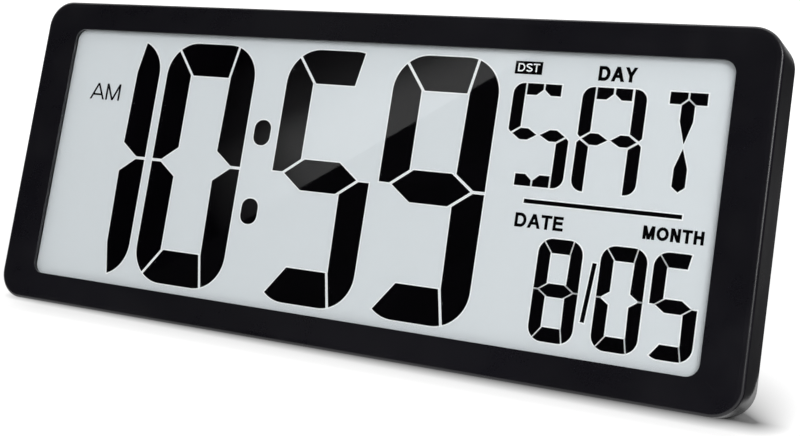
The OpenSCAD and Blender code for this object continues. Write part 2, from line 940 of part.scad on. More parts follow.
// Space behind the raised field, round the stand's channel and outside the battery bay
module cover_hollow() {
    wide = channel_w / 2 + cover_t;
    difference() {
        translate([0, 0, hump_z])
            upright(cover_y - cut, cover_t + cut)
            rounded(hump_w - 2 * cover_t, hump_h - 2 * cover_t, hump_r - cover_t);
        slab(-wide, wide, 0, hump_y, 0, channel_z1 + cover_t);
        slab(bay_x0 - bay_wall, bay_x1 + bay_wall, 0, hump_y,
            bay_z - bay_h / 2 - bay_wall, bay_z + bay_h / 2 + bay_wall);
        at_key_posts() rod(0, 0, 0, key_post_d, hump_y);
    }
}

// Shallow pocket and grooves in which the battery door slides out to the side
module door_pocket() {
    z1 = door_h / 2 + door_fit;
    far = door_x1 + cut;
    translate([0, 0, bay_z]) {
        slab(door_x0 - door_fit, far, door_y, hump_y + cut, -z1, z1);
        slab(door_x0 - door_fit, far, tongue_y - tongue_fit, tongue_y + tongue_t + tongue_fit,
            -z1 - tongue_w, z1 + tongue_w);
    }
}

module rear_cover() {
    color([0.1, 0.1, 0.11])
        leaned() difference() {
            cover_body();
            cover_hollow();
            slab(-channel_w / 2, channel_w / 2, channel_y, hump_y + cut, hump_z0 - cut, channel_z1);
            translate([-channel_w / 2 - 2 * cover_t, hinge_y, hinge_z])
                rotate([0, 90, 0])
                cylinder(d = pin_d + 2 * seat_fit, h = channel_w + 4 * cover_t);
            for (s = [-1, 1])
                translate([s * hang_pitch / 2, 0, hang_z])
                keyhole();
            for (i = [0:key_count - 1])
                rod(key_x, hump_in_y - cut, key_place(i), key_d + 2 * key_fit, cover_t + 2 * cut);
            at_key_posts() rod(0, key_board_back - cut, 0, pilot_d, key_pilot + cut);
            slab(bay_x0, bay_x1, bay_y, hump_y + cut, bay_z - bay_h / 2, bay_z + bay_h / 2);
            door_pocket();
            both_sides() {
                for (z = post_z) screw_seat(boss_x, z);
                screw_seat(mid_post_x, top_boss_z);
            }
            for (x = [-1, 0, 1])
                translate([buzzer_x + sound_pitch * x, 0, main_z])
                upright(cover_y - cut, hump + cover_t + 2 * cut)
                rounded(sound_w, sound_h, sound_r);
        }
}

// Sunk seat and passage for one of the cover's screws
module screw_seat(x, z) {
    rod(x, cover_y - cut, z, passage_d, cover_t + 2 * cut);
    rod(x, case_d - head_sink, z, head_d + 2 * seat_room, head_sink + cut);
}

module cover_screws() {
    color([0.6, 0.6, 0.62])
        leaned()
        both_sides() {
            for (z = post_z) screw(boss_x, case_d - head_sink, z, cover_screw_l);
            screw(mid_post_x, case_d - head_sink, top_boss_z, cover_screw_l);
        }
}

module battery_door() {
    z1 = door_h / 2;
    color([0.1, 0.1, 0.11])
        leaned() difference() {
            union() {
                intersection() {
                    slab(door_x0, door_x1, door_y, hump_y, bay_z - z1, bay_z + z1);
                    raised_field(0);
                    translate([0, -door_sink, 0]) raised_field(0);
                }
                slab(door_x0, door_x1 - hump_chamfer, tongue_y, tongue_y + tongue_t,
                    bay_z - z1 - tongue_w, bay_z + z1 + tongue_w);
            }
            for (i = [0:grip_count - 1])
                translate([door_x1 - grip_in - i * grip_pitch, 0, bay_z])
                upright(hump_y - grip_deep, grip_deep + cut)
                rounded(grip_w, grip_l, grip_r);
        }
}

// Places the cells: even ones point their nub to the right, odd ones to the left
module at_cell(i) {
    translate([(bay_x0 + bay_x1) / 2, cell_y, bay_z + (i - (cell_count - 1) / 2) * cell_pitch])
        mirror([i % 2, 0, 0])
        translate([-(bay_x1 - bay_x0) / 2 + plate_t, 0, 0])
        rotate([0, 90, 0])
        children();
}

module aa_cells() {
    color([0.75, 0.6, 0.2])
        leaned()
        for (i = [0:cell_count - 1])
            at_cell(i)
            translate([0, 0, spring_l]) {
                cylinder(d = cell_d, h = cell_l - nub_l);
                cylinder(d = nub_d, h = cell_l);
            }
}

module contact_plates() {
    color([0.8, 0.8, 0.82])
        leaned()
        for (i = [0:cell_count - 1], x = [bay_x0, bay_x1 - plate_t])
            slab(x, x + plate_t, cell_y - plate_w / 2, cell_y + plate_w / 2,
                bay_z + (i - (cell_count - 1) / 2) * cell_pitch - plate_w / 2,
                bay_z + (i - (cell_count - 1) / 2) * cell_pitch + plate_w / 2);
}

// Point on the conical spring's centre line: t runs from 0 at the plate to 1 at the cell
function coil(t) =
    let (r = coil_wide + (coil_narrow - coil_wide) * t, a = 360 * spring_turns * t)
    [r * cos(a), r * sin(a), wire_d / 2 + (spring_l - wire_d) * t];

// Point on the wire's skin round coil(t)
function wire_skin(t, a) =
    let (p = coil(t), u = [cos(360 * spring_turns * t), sin(360 * spring_turns * t), 0])
    p + wire_d / 2 * (cos(a) * u + sin(a) * [0, 0, 1]);

// Faces of a closed tube of rings, each with the same number of sides
function tube_faces(rings, sides) = concat(
    [[for (j = [0:sides - 1]) j]],
    [for (k = [0:rings - 2], j = [0:sides - 1], half = [0, 1])
        let (a = k * sides + j, b = k * sides + (j + 1) % sides)
        half == 0 ? [a, a + sides, b] : [b, a + sides, b + sides]],
    [[for (j = [sides - 1:-1:0]) (rings - 1) * sides + j]]);

// Conical contact spring, one unbroken wire swept along its coil
module spring() {
    steps = spring_turns * turn_steps;
    sides = 6;
    polyhedron(
        points = [for (k = [0:steps], j = [0:sides - 1]) wire_skin(k / steps, 360 * j / sides)],
        faces = tube_faces(steps + 1, sides));
}

module contact_springs() {
    color([0.8, 0.8, 0.82])
        leaned()
        for (i = [0:cell_count - 1])
            at_cell(i)
            spring();
}

// Direction of the leads' route at one of its places, as depth and height
function route_dir(k) =
    let (a = lead_route[max(k - 1, 0)], b = lead_route[min(k + 1, len(lead_route) - 1)])
    (b - a) / norm(b - a);

module battery_leads() {
    sides = 8;
    color([0.7, 0.1, 0.1])
        leaned()
        for (i = [0, 1])
            polyhedron(
                points = [for (k = [0:len(lead_route) - 1], j = [0:sides - 1])
                    let (a = 360 * j / sides, r = lead_d / 2, d = route_dir(k), p = lead_route[k])
                    [lead_x + i * lead_step + r * cos(a), p[0] - r * sin(a) * d[1],
                        p[1] + r * sin(a) * d[0]]],
                faces = tube_faces(len(lead_route), sides));
}

// Moves to the stand's hinge axis; the leg turned there by its opening angle hangs down and back
module at_hinge(open) {
    leaned()
        translate([0, hinge_y, hinge_z])
        rotate([open, 0, 0])
        children();
}

// Everything above a height over the floor, for cutting the leg level with it
module above(z) {
    translate([-case_w, -case_w, z])
        cube(2 * case_w);
}

module stand_leg() {
    color([0.1, 0.1, 0.11])
        difference() {
            intersection() {
                union() {
                    at_hinge(stand_open) difference() {
                        slab(-leg_w / 2, leg_w / 2, -leg_inner, leg_t - leg_inner,
                            -leg_l - leg_spare, 0);
                        for (x = [-1, 0, 1])
                            slab(x * leg_panel_x - leg_panel, x * leg_panel_x + leg_panel,
                                -leg_inner - cut, leg_t - leg_inner - leg_skin,
                                -leg_l + leg_panel_end, -leg_panel_end);
                    }
                    at_hinge(0) sideways(-leg_w / 2, leg_w)
                        polygon([[-barrel_r, 0], [-barrel_r, heel_h], [-barrel_r + heel_t, heel_h],
                            [barrel_r * heel_back_share, 0]]);
                    at_hinge(0) rotate([0, 90, 0]) cylinder(r = barrel_r, h = leg_w, center = true);
                }
                above(foot_t);
            }
            at_hinge(0) rotate([0, 90, 0])
                cylinder(d = pin_d + 2 * bore_fit, h = leg_w + 2 * cut, center = true);
        }
}

module stand_pin() {
    color([0.7, 0.7, 0.72])
        at_hinge(0)
        rotate([0, 90, 0])
        cylinder(d = pin_d, h = channel_w + 2 * pin_reach, center = true);
}

module stand_foot() {
    color([0.05, 0.05, 0.05])
        intersection() {
            at_hinge(stand_open)
                slab(-leg_w / 2, leg_w / 2, -leg_inner - foot_grow, leg_t - leg_inner + foot_grow,
                    -leg_l - leg_spare, -leg_l + leg_spare);
            difference() {
                above(0);
                above(foot_t);
            }
        }
}

front_case();
front_lens();
lens_gasket();
front_polariser();
time_segments();
colon_dots();
date_segments();
lcd_front_glass();
lcd_rear_glass();
lcd_reflector();
zebra_strip();
lcd_holder();
holder_screws();
main_board();
board_screws();
driver_chip();
quartz_crystal();
buzzer();
key_board();
key_board_screws();
tact_switches();
key_cable();
set_key();
up_key();
down_key();
alarm_key();
mode_key();
rear_cover();
cover_screws();
battery_door();
aa_cells();
contact_plates();
contact_springs();
battery_leads();
stand_leg();
stand_pin();
stand_foot();
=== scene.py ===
"""Dresses the day clock: materials, printed display legends, floor, light and camera."""
import math

import bmesh
import bpy
from mathutils import Matrix, Vector


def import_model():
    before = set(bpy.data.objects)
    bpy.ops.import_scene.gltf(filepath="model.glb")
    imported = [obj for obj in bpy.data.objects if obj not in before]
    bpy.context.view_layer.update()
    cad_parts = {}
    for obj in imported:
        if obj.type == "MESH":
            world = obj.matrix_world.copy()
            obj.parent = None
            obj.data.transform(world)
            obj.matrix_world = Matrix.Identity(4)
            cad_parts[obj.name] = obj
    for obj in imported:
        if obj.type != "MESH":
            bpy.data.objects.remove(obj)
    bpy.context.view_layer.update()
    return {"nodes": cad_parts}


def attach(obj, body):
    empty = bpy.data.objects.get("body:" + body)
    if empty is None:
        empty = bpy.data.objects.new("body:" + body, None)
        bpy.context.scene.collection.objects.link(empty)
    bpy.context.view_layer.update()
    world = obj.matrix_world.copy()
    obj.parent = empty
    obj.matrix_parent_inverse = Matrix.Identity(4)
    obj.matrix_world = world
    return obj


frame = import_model()
NODE = frame["nodes"]

# ---------------------------------------------------------------- the case's own frame
LEAN = math.radians(19)
REST_SHIFT = 0.020467          # how far the resting edge lies behind the ridge's foot, m
REST_LIFT = 0.006488           # how far the leaning lifts the case's lower front edge, m
WINDOW_Z = 73.8                # middle of the window above the lower edge, mm
LENS_Y = 2.6                   # depth of the lens's front, mm
FILM_Y = 4.1                   # depth of the display's face, mm
CELL_T = 0.15                  # thickness of display segments, mm
CELL_Y = FILM_Y - CELL_T       # depth of their front, mm
INK_T = 0.03                   # thickness of printed marks, mm
EDGE_T = 0.02                  # thickness of the pale edge lines, mm
EDGE_W = 0.55                  # width of the pale edge line round a segment, mm
BOX_GAP = 0.01                 # gap behind the box of the DST letters, mm

CASE = Matrix.Translation((0, -REST_SHIFT, REST_LIFT)) @ Matrix.Rotation(-LEAN, 4, "X")
FACING = (CASE.to_3x3() @ Vector((0, -1, 0))).normalized()      # where the display faces


def at(x, y, z):
    """A point of the upright case in millimetres, as a point of the leaning clock in metres."""
    return CASE @ Vector((x / 1000, y / 1000, z / 1000))


# ---------------------------------------------------------------- node tools
NOISE = (0.3, 0.7)             # between these a noise mostly lies


class Tree:
    """A material's or world's node tree, with short calls for what the looks below use."""

    def __init__(self, name, kind="Material"):
        self.owner = (bpy.data.worlds if kind == "World" else bpy.data.materials).new(name)
        self.owner.use_nodes = True
        self.nt = self.owner.node_tree
        self.nt.nodes.clear()
        self.out = self.node("Output" + kind)
        self.coord = self.node("TexCoord")

    def link(self, value, socket):
        """Joins an output to the socket, or gives the socket a plain value."""
        if isinstance(value, bpy.types.NodeSocket):
            self.nt.links.new(value, socket)
        else:
            socket.default_value = value

    def node(self, kind, **inputs):
        n = self.nt.nodes.new("ShaderNode" + kind)
        for key, value in inputs.items():
            self.link(value, n.inputs[key.replace("_", " ")])
        return n

    def placed(self, kind, **inputs):
        """A texture node on the object's own coordinates."""
        return self.node(kind, Vector=self.coord.outputs["Object"], **inputs)

    def noise(self, scale, detail=3.0, roughness=0.5):
        return self.placed("TexNoise", Scale=scale, Detail=detail, Roughness=roughness).outputs["Fac"]

    def cells(self, scale):
        return self.placed("TexVoronoi", Scale=scale).outputs["Distance"]

    def math(self, what, a, b=0.0, clamp=False):
        n = self.node("Math")
        n.operation = what
        n.use_clamp = clamp
        self.link(a, n.inputs[0])
        self.link(b, n.inputs[1])
        return n.outputs[0]

    def length(self, a, b):
        """The root of a squared plus b squared."""
        squares = [self.math("MULTIPLY", v, v) for v in (a, b)]
        return self.math("SQRT", self.math("ADD", *squares))

    def ramp(self, fac, stops):
        """A colour ramp; a stop's colour is a triple, or one number for a grey."""
        n = self.node("ValToRGB", Fac=fac)
        while len(n.color_ramp.elements) < len(stops):
            n.color_ramp.elements.new(0.5)
        for element, (position, colour) in zip(n.color_ramp.elements, stops):
            element.position = position
            element.color = (*colour, 1) if isinstance(colour, tuple) else (colour, colour, colour, 1)
        return n.outputs["Color"]

    def drift(self, scale, dark, light, detail=3):
        """A slow change of colour between two tones."""
        return self.ramp(self.noise(scale, detail), list(zip(NOISE, (dark, light))))

    def span(self, fac, low, high, lo=0.0, hi=1.0):
        """The input's range from lo to hi, spread from low to high."""
        return self.node("MapRange", Value=fac, From_Min=lo, From_Max=hi,
                         To_Min=low, To_Max=high).outputs["Result"]

    def mix(self, fac, a, b):
        """Two colours mixed; a plain colour is a triple."""
        n = self.node("Mix")
        n.data_type = "RGBA"
        for i, v in ((0, fac), (6, a), (7, b)):
            self.link((*v, 1) if isinstance(v, tuple) else v, n.inputs[i])
        return n.outputs[2]

    def bump(self, height, strength, distance):
        return self.node("Bump", Height=height, Strength=strength, Distance=distance).outputs["Normal"]

    def split(self):
        """The x, y and z of a point of the object."""
        return self.placed("SeparateXYZ").outputs

    def show(self, shader):
        """Makes the shader node the tree's result, and gives the material or world."""
        self.link(shader.outputs[0], self.out.inputs[0])
        return self.owner

    def principled(self, **inputs):
        return self.show(self.node("BsdfPrincipled", **inputs))


def plastic(name, dark, light, rough, grain, depth, shine=0.3):
    """Moulded plastic: spark-eroded grain, a slow drift of shade and slightly rubbed patches."""
    t = Tree(name)
    colour = t.drift(18, dark, light)
    fine = t.noise(grain, 2, 0.6)
    pits = t.cells(grain * 0.7)
    roughness = t.math("ADD", t.span(t.noise(45, 4), rough - 0.05, rough + 0.05, *NOISE),
                       t.span(fine, -0.03, 0.03))
    height = t.math("ADD", fine, t.math("MULTIPLY", pits, 0.6))
    return t.principled(Base_Color=colour, Roughness=roughness, Specular_IOR_Level=shine,
                        Normal=t.bump(height, 0.35, depth))


def see_through(name, tint, face_on, rough):
    """A clear polished sheet: what is behind shows, and gloss grows towards grazing angles."""
    t = Tree(name)
    edge_on = t.node("LayerWeight", Blend=0.5).outputs["Facing"]
    share = t.math("ADD", t.math("MULTIPLY", t.math("POWER", edge_on, 5.0), 1.0 - face_on), face_on)
    roughness = t.span(t.noise(240, 3), rough * 0.5, rough * 1.5)
    gloss = t.node("BsdfGlossy", Color=(1, 1, 1, 1), Roughness=roughness)
    clear = t.node("BsdfTransparent", Color=(*tint, 1))
    both = t.node("MixShader", Fac=share)
    t.link(clear.outputs[0], both.inputs[1])
    t.link(gloss.outputs[0], both.inputs[2])
    return t.show(both)


def display_face():
    """Pale reflective film behind polariser: even, with very fine tooth and a faint drift."""
    t = Tree("display_film")
    slow = t.noise(6, 2)
    tooth = t.noise(2600, 2, 0.7)
    grained = t.mix(t.span(tooth, 0.0, 1.0, *NOISE), (0.65, 0.68, 0.702), (0.69, 0.72, 0.742))
    colour = t.mix(t.span(slow, 0.0, 0.5, *NOISE), grained, (0.635, 0.667, 0.69))
    return t.principled(Base_Color=colour, Roughness=0.62, Specular_IOR_Level=0.12,
                        Normal=t.bump(tooth, 0.08, 0.00002))


def lit_cell():
    """A switched-on display segment: near black with a faint violet drift."""
    t = Tree("display_segment")
    return t.principled(Base_Color=t.drift(30, (0.0005, 0.0004, 0.0008), (0.0012, 0.001, 0.0017)),
                        Roughness=t.span(t.noise(400, 3), 0.45, 0.6), Specular_IOR_Level=0.01)


def cell_edge():
    """The paler line that shows round each segment."""
    t = Tree("display_edge")
    return t.principled(Base_Color=t.drift(60, (0.86, 0.88, 0.89), (0.93, 0.94, 0.94)),
                        Roughness=t.span(t.noise(500, 2), 0.55, 0.7), Specular_IOR_Level=0.1)


def metal(name, low, high, rough, scale=(1, 1, 1)):
    """Bright plated metal with fine drawing lines; scale squeezes them along an axis."""
    t = Tree(name)
    squeezed = t.placed("Mapping", Scale=scale)
    streak = t.node("TexNoise", Vector=squeezed.outputs[0], Scale=900.0, Detail=3.0).outputs["Fac"]
    return t.principled(Base_Color=t.drift(120, low, high), Metallic=1.0,
                        Roughness=t.span(streak, rough - 0.08, rough + 0.1),
                        Normal=t.bump(streak, 0.25, 0.00003))


def rubber(name, dark, light):
    """Soft black or coloured rubber with a fine dull grain."""
    t = Tree(name)
    fine = t.noise(1900, 3, 0.7)
    return t.principled(Base_Color=t.drift(90, dark, light, 4), Roughness=t.span(fine, 0.7, 0.9),
                        Specular_IOR_Level=0.25, Normal=t.bump(fine, 0.4, 0.00008))


def board():
    """Green laminate: solder mask over a faint weave."""
    t = Tree("laminate")
    weave = t.placed("TexBrick", Scale=260.0).outputs["Fac"]
    mask = t.mix(t.span(t.noise(160, 3), 0, 1, 0.35, 0.65), (0.012, 0.085, 0.035), (0.02, 0.13, 0.055))
    colour = t.mix(t.math("MULTIPLY", weave, 0.4), mask, (0.035, 0.17, 0.08))
    return t.principled(Base_Color=colour, Roughness=t.span(t.noise(600, 2), 0.28, 0.42),
                        Normal=t.bump(weave, 0.2, 0.00004))


BAND_X = 0.094                 # where the cells' warm band begins, m


def wrapped_cell():
    """A plain dry cell: a dark sleeve with one warm band and a fine printing grain."""
    t = Tree("cell_sleeve")
    band = t.math("GREATER_THAN", t.split()[0], BAND_X)
    sleeve = t.mix(band, (0.02, 0.021, 0.024), (0.42, 0.2, 0.055))
    colour = t.mix(t.span(t.noise(700, 2), 0, 0.25, *NOISE), sleeve, (0.12, 0.11, 0.1))
    return t.principled(Base_Color=colour, Roughness=t.span(t.noise(150, 3), 0.2, 0.34),
                        Metallic=0.35, Normal=t.bump(t.noise(900, 2), 0.1, 0.00002))


# Plastics: dark and light tone, roughness, size of the grain, its depth in m and the shine
BLACK = plastic("case_satin", (0.0027, 0.0024, 0.0042), (0.0042, 0.0038, 0.0064), 0.3, 1500, 0.000012,
                0.5)
BACK = plastic("cover_grain", (0.0075, 0.0075, 0.0085), (0.012, 0.012, 0.0135), 0.55, 900, 0.00012)
KEYS = plastic("key_satin", (0.022, 0.022, 0.024), (0.032, 0.032, 0.035), 0.4, 1300, 0.00005)
WHITE = plastic("holder_satin", (0.62, 0.62, 0.6), (0.7, 0.7, 0.68), 0.5, 1100, 0.00006, 0.4)
RESIN = plastic("resin", (0.006, 0.006, 0.006), (0.012, 0.012, 0.012), 0.38, 1200, 0.00006, 0.4)
CABLE = plastic("cable_film", (0.5, 0.5, 0.47), (0.6, 0.6, 0.56), 0.35, 800, 0.00003, 0.5)
LEAD = plastic("lead_red", (0.24, 0.012, 0.012), (0.34, 0.02, 0.018), 0.35, 900, 0.00004, 0.5)
LENS = see_through("clear_acrylic", (0.99, 0.995, 0.995), 0.04, 0.012)
FACE = display_face()
CELL = lit_cell()
EDGE = cell_edge()
GLASS = see_through("display_glass", (0.88, 0.93, 0.92), 0.05, 0.03)
FILM = metal("reflector_film", (0.72, 0.72, 0.74), (0.8, 0.8, 0.82), 0.3)
STEEL = metal("plated_steel", (0.5, 0.51, 0.53), (0.66, 0.67, 0.69), 0.28, (1, 6, 1))
NICKEL = metal("nickel", (0.66, 0.64, 0.6), (0.78, 0.76, 0.72), 0.22, (1, 1, 8))
FOAM = rubber("foam_tape", (0.008, 0.008, 0.008), (0.014, 0.014, 0.014))
ZEBRA = rubber("zebra_rubber", (0.1, 0.035, 0.04), (0.16, 0.06, 0.065))
FOOT = rubber("foot_rubber", (0.008, 0.008, 0.008), (0.016, 0.016, 0.016))
BOARD = board()
SLEEVE = wrapped_cell()

LOOKS = {
    BLACK: ["front_case"],
    BACK: ["rear_cover", "battery_door", "stand_leg"],
    KEYS: ["set_key", "up_key", "down_key", "alarm_key", "mode_key"],
    LENS: ["front_lens"],
    FACE: ["front_polariser"],
    CELL: ["time_segments", "colon_dots", "date_segments"],
    GLASS: ["lcd_front_glass", "lcd_rear_glass"],
    FILM: ["lcd_reflector"],
    FOAM: ["lens_gasket"],
    ZEBRA: ["zebra_strip"],
    WHITE: ["lcd_holder"],
    STEEL: ["holder_screws", "board_screws", "key_board_screws", "cover_screws", "stand_pin",
            "quartz_crystal"],
    BOARD: ["main_board", "key_board"],
    RESIN: ["driver_chip", "buzzer", "tact_switches"],
    CABLE: ["key_cable"],
    SLEEVE: ["aa_cells"],
    NICKEL: ["contact_plates", "contact_springs"],
    LEAD: ["battery_leads"],
    FOOT: ["stand_foot"],
}
for look, names in LOOKS.items():
    for name in names:
        slots = NODE[name].material_slots
        if not slots:
            NODE[name].data.materials.append(look)
        for s in slots:
            s.material = look


# ---------------------------------------------------------------- printed and switched marks
def mesh_object(name, verts, faces, look):
    """A new object in the scene, made of these faces."""
    mesh = bpy.data.meshes.new(name)
    mesh.from_pydata(verts, [], faces)
    mesh.update()
    mesh.materials.append(look)
    o = bpy.data.objects.new(name, mesh)
    bpy.context.scene.collection.objects.link(o)
    return o


def turning(points):
    """Above zero when the outline runs to the left round its inside."""
    return sum(a[0] * b[1] - b[0] * a[1] for a, b in zip(points, points[1:] + points[:1]))


def sheet_of(name, shapes, front, thick, look):
    """One mesh of flat shapes, each a list of (x, z) from the middle of the window, given depth."""
    verts, faces = [], []
    for shape in shapes:
        n, base = len(shape), len(verts)
        ring = shape if turning(shape) > 0 else shape[::-1]
        for y in (front, front + thick):
            verts += [at(x, y, WINDOW_Z + z) for x, z in ring]
        faces.append([base + i for i in range(n)])
        faces.append([base + n + i for i in reversed(range(n))])
        faces += [[base + i, base + n + i, base + n + (i + 1) % n, base + (i + 1) % n]
                  for i in range(n)]
    o = mesh_object(name, [tuple(v) for v in verts], faces, look)
    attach(o, "case")


SAME_POINT = 0.02              # points nearer than this count as one, mm
SHARPEST = 0.55                # limits how far a grown corner reaches out: by 1 / 0.55
SHARPEST_BEND = 0.5            # and the bend of a ribbon: by 1 / 0.5
FRONTAL = 0.9                  # how squarely a face has to look ahead to count as a segment's front
WELD = 1e-6                    # corners nearer than this are one, m


def grown_shape(points, grow):
    """A flat outline with every side moved outwards by grow."""
    pts = [Vector(p) for p in points]
    pts = [p for i, p in enumerate(pts) if (p - pts[i - 1]).length > SAME_POINT]
    sign = 1 if turning(pts) > 0 else -1
    grown = []
    for i, p in enumerate(pts):
        before = (p - pts[i - 1]).normalized()
        after = (pts[(i + 1) % len(pts)] - p).normalized()
        out_before = Vector((before.y, -before.x)) * sign
        out_after = Vector((after.y, -after.x)) * sign
        out = (out_before + out_after).normalized()
        grown.append(tuple(p + out * grow / max(SHARPEST, out.dot(out_before))))
    return grown


def cell_outlines(node, grow):
    """Front outlines of a CAD node's display segments as (x, z) from the window's middle, grown."""
    b = bmesh.new()
    b.from_mesh(NODE[node].data)
    bmesh.ops.remove_doubles(b, verts=b.verts, dist=WELD)
    b.normal_update()
    back = CASE.inverted()
    front = [face for face in b.faces if face.normal.dot(FACING) > FRONTAL]
    follow = {}
    for face in front:
        for loop in face.loops:
            if sum(other in front for other in loop.edge.link_faces) == 1:
                follow[loop.vert] = loop.link_loop_next.vert
    outlines = []
    while follow:
        start, v = follow.popitem()
        ring = [start]
        while v is not start:
            ring.append(v)
            v = follow.pop(v)
        flat = [back @ v.co * 1000 for v in ring]
        outlines.append(grown_shape([(p.x, p.z - WINDOW_Z) for p in flat], grow))
    b.free()
    return outlines


def ribbon(points, width):
    """A line of that width along the points, as one closed shape with mitred bends."""
    left, right = [], []
    pts = [Vector(p) for p in points]
    steps = [(b - a).normalized() for a, b in zip(pts, pts[1:])]
    for p, before, after in zip(pts, [steps[0]] + steps, steps + [steps[-1]]):
        bend = p is not pts[0] and p is not pts[-1]
        along = (before + after).normalized() if bend else before
        side = Vector((-along.y, along.x))
        reach = 1.0 / max(SHARPEST_BEND, side.dot(Vector((-before.y, before.x)))) if bend else 1.0
        left.append(tuple(p + side * width / 2 * reach))
        right.append(tuple(p - side * width / 2 * reach))
    return left + right[::-1]


def arc(cx, cz, rx, rz, a0, a1, n):
    """Points along an ellipse from a0 to a1 degrees, in n steps."""
    turns = [math.radians(a0 + (a1 - a0) * i / n) for i in range(n + 1)]
    return [(cx + rx * math.cos(a), cz + rz * math.sin(a)) for a in turns]


# Width and side space of plain capitals, compared with each other
LETTER_SIZE = {"A": (1.0, 0.0), "D": (0.88, 0.08), "E": (0.77, 0.07), "H": (0.8, 0.09),
               "M": (0.96, 0.09), "N": (0.8, 0.09), "O": (0.98, 0.05), "S": (0.84, 0.05),
               "T": (0.82, 0.02), "Y": (0.93, 0.0)}

# Words: left, right, lower and upper side in mm from the window's middle, and the stroke's width
WORDS = {
    "AM": (-149.4, -131.4, 26.6, 34.6, 0.95),
    "DST": (72.7, 82.2, 52.0, 55.5, 0.55),
    "DAY": (107.6, 123.6, 50.0, 56.1, 1.45),
    "DATE": (80.7, 101.5, -11.9, -6.1, 1.3),
    "MONTH": (134.0, 157.8, -11.1, -5.8, 1.25),
}
DST_BOX = (71.4, 51.0, 83.4, 56.4)      # left, lower, right and upper side of the box round DST, mm
LEVEL = 0.95                   # thickness of the level strokes of E and T, as a share of the stroke
WAIST = 0.53                   # height of the middle bar of E and H, as a share of the height


def block(x0, z0, x1, z1):
    """A level rectangle between two corners."""
    return [(x0, z0), (x1, z0), (x1, z1), (x0, z1)]


def slant(x0, z0, x1, z1, w):
    """A slanting stroke with level ends, w wide at each end, from its left corners."""
    return [(x0, z0), (x0 + w, z0), (x1 + w, z1), (x1, z1)]


def letter(ch, w, h, s):
    """Closed shapes of a plain capital w wide and h high with strokes s wide, at (0, 0).

    Its numbers are shares of the width, the height or the stroke.
    """
    mid = (w - s) / 2
    left, right = block(0, 0, s, h), block(w - s, 0, w, h)
    if ch == "A":
        return [slant(0, 0, mid, h, s * 1.06),
                slant(w - s * 1.06, 0, mid - s * 0.06, h, s * 1.06),
                block(w * 0.24, h * 0.25, w * 0.76, h * 0.25 + s * 0.9)]
    if ch == "D":
        r = w * 0.52
        bowl = arc(w - r, h / 2, r - s / 2, (h - s) / 2, 90, -90, 20)
        return [left, ribbon([(s * 0.6, h - s / 2)] + bowl + [(s * 0.6, s / 2)], s)]
    if ch == "E":
        return [left, block(0, 0, w, s * LEVEL), block(0, h - s * LEVEL, w * 0.97, h),
                block(0, h * WAIST - s / 2, w * 0.92, h * WAIST + s / 2)]
    if ch == "H":
        return [left, right, block(0, h * WAIST - s / 2, w, h * WAIST + s / 2)]
    if ch == "M":
        return [left, right, slant(mid, 0, 0, h, s * 1.1),
                slant(mid - s * 0.1, 0, w - s * 1.1, h, s * 1.1)]
    if ch == "N":
        return [left, right, slant(w - s * 1.15, 0, 0, h, s * 1.15)]
    if ch == "O":
        return [ribbon(arc(w / 2, h / 2, (w - s) / 2, (h - s) / 2, 90, 450, 36), s)]
    if ch == "S":
        top = arc(w / 2, h * 0.735, (w - s) / 2 * 0.93, h * 0.265 - s / 2, 20, 262, 18)
        low = arc(w / 2, h * 0.265, (w - s) / 2, h * 0.265 - s / 2, 82, -160, 18)
        return [ribbon(top + low, s)]
    if ch == "T":
        return [block(0, h - s * LEVEL, w, h), block(mid, 0, mid + s, h)]
    return [block(mid, 0, mid + s, h * 0.44), slant(mid, h * 0.42, 0, h, s * 1.06),
            slant(mid - s * 0.06, h * 0.42, w - s * 1.06, h, s * 1.06)]


def word(text):
    """The word's letters spread over its box."""
    x0, x1, z0, z1, stroke = WORDS[text]
    sizes = [LETTER_SIZE[ch] for ch in text]
    room = sum(w + 2 * side for w, side in sizes) - sizes[0][1] - sizes[-1][1]
    unit = (x1 - x0) / room
    shapes, left = [], x0 - sizes[0][1] * unit
    for ch, (w, side) in zip(text, sizes):
        left += side * unit
        shapes += [[(left + x, z0 + z) for x, z in shape]
                   for shape in letter(ch, w * unit, z1 - z0, stroke)]
        left += (w + side) * unit
    return shapes


# The weekday's segments, in mm from the window's middle: heights and widths first
DAY_TOP = 47.3                 # upper side of the letters
DAY_LOW = 42.5                 # lower side of their top bars
DAY_MID = 26.1                 # middle line, at which the letters mirror
DAY_BAR = 5.1                  # width of an upright
DAY_CORNER = 4.6               # radius of the outer corners
POST_END = (3.1, 0.55, 1.7)    # how far an upright stays off the middle line: inside, tip, outside
POST_TIP = 0.78                # the tip's place across the upright
BAR_CUT_X, BAR_CUT_Z = 2.7, 2.3         # the corners cut away where two top bars meet
DAY_RISE, DAY_DROP = 2.4, 2.3  # upper and lower side of the middle bars, from the middle line
STEM_X, STEM_HALF = 145.4, 2.6          # middle and half the width of the T's stem
STEMS = ((44.2, 42.1, 35.8, 26.9), (25.2, 17.3, 10.1, 8.1))     # tip, two shoulders and foot of its halves
# Places across: inner sides of the uprights, ends of the halves of top and middle bars
S_POSTS = (77.35, 93.7)
S_TOP = (78.1, 85.1, 85.9, 92.9)
S_MIDDLE = ((74.2, 77.6, 80.9, 84.8), (86.2, 90.4, 93.4, 97.0))
A_POSTS = (107.3, 123.7)
A_TOP = (108.1, 114.9, 115.8, 122.7)
A_MIDDLE = ((104.1, 107.5, 110.8, 114.9), (116.1, 120.0, 123.3, 126.8))
T_TOP = (137.9, 144.9, 145.7, 152.7)


